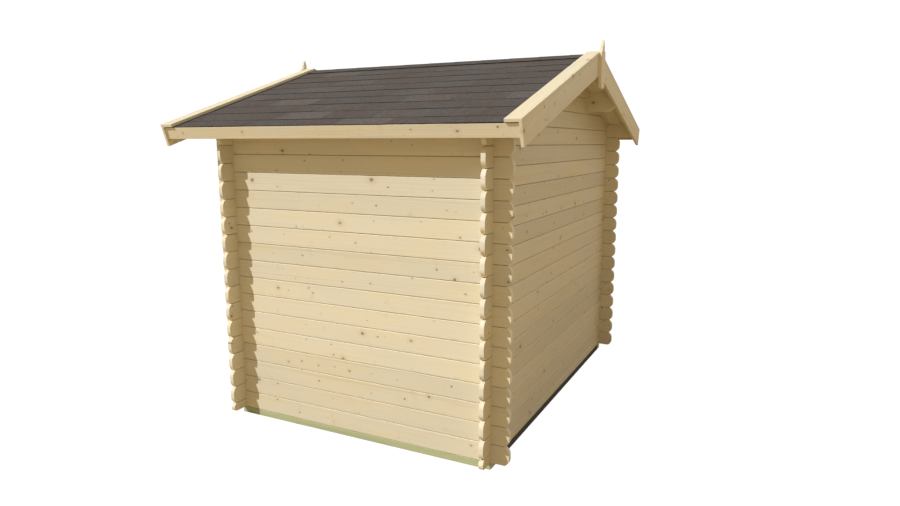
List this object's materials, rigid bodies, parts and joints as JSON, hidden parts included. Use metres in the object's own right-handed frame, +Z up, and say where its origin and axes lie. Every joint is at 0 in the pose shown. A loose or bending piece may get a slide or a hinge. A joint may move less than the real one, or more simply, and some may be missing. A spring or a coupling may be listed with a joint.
{
  "type": "garden shed",
  "caption": "Small garden shed of interlocking spruce logs with a low gable roof, felt shingles, bargeboards with cap boards and pointed finials, on treated beams.",
  "frame": {"origin": "centre of the footprint of the whole shed, verges and eaves included, at the underside of the foundation beams", "axes": "+Z up, the front gable with the door faces -Y, the ridge runs along Y"},
  "size_m": [2.9328, 2.477, 2.4883],
  "materials": {
    "log_timber": "planed untreated spruce, pale cream yellow with small knots",
    "trim_timber": "planed untreated spruce boards",
    "treated_timber": "green tinted pressure treated pine",
    "roof_felt": "mineral surfaced bitumen felt shingles, grey brown",
    "zinc_steel": "zinc plated steel"
  },
  "bodies": {
    "root": {"left_beam": "treated_timber", "right_beam": "treated_timber", "front_beam": "treated_timber", "rear_beam": "treated_timber", "left_logs_odd": "log_timber", "left_logs_even": "log_timber", "right_logs_odd": "log_timber", "right_logs_even": "log_timber", "rear_logs_odd": "log_timber", "rear_logs_even": "log_timber", "front_sill_log": "log_timber", "front_left_logs_odd": "log_timber", "front_left_logs_even": "log_timber", "front_right_logs_odd": "log_timber", "front_right_logs_even": "log_timber", "front_gable_logs_odd": "log_timber", "front_gable_logs_even": "log_timber", "ridge_purlin": "log_timber", "left_purlin": "log_timber", "right_purlin": "log_timber", "left_deck": "trim_timber", "right_deck": "trim_timber", "left_felt": "roof_felt", "right_felt": "roof_felt", "left_fascia": "trim_timber", "right_fascia": "trim_timber", "rear_left_bargeboard": "trim_timber", "rear_right_bargeboard": "trim_timber", "front_left_bargeboard": "trim_timber", "front_right_bargeboard": "trim_timber", "rear_left_cap_board": "trim_timber", "rear_right_cap_board": "trim_timber", "front_left_cap_board": "trim_timber", "front_right_cap_board": "trim_timber", "rear_finial": "trim_timber", "front_finial": "trim_timber", "door_frame": "trim_timber", "door_leaf": "trim_timber", "door_ledges": "trim_timber", "door_hinges": "zinc_steel", "door_handle": "zinc_steel"}
  },
  "joints": []
}
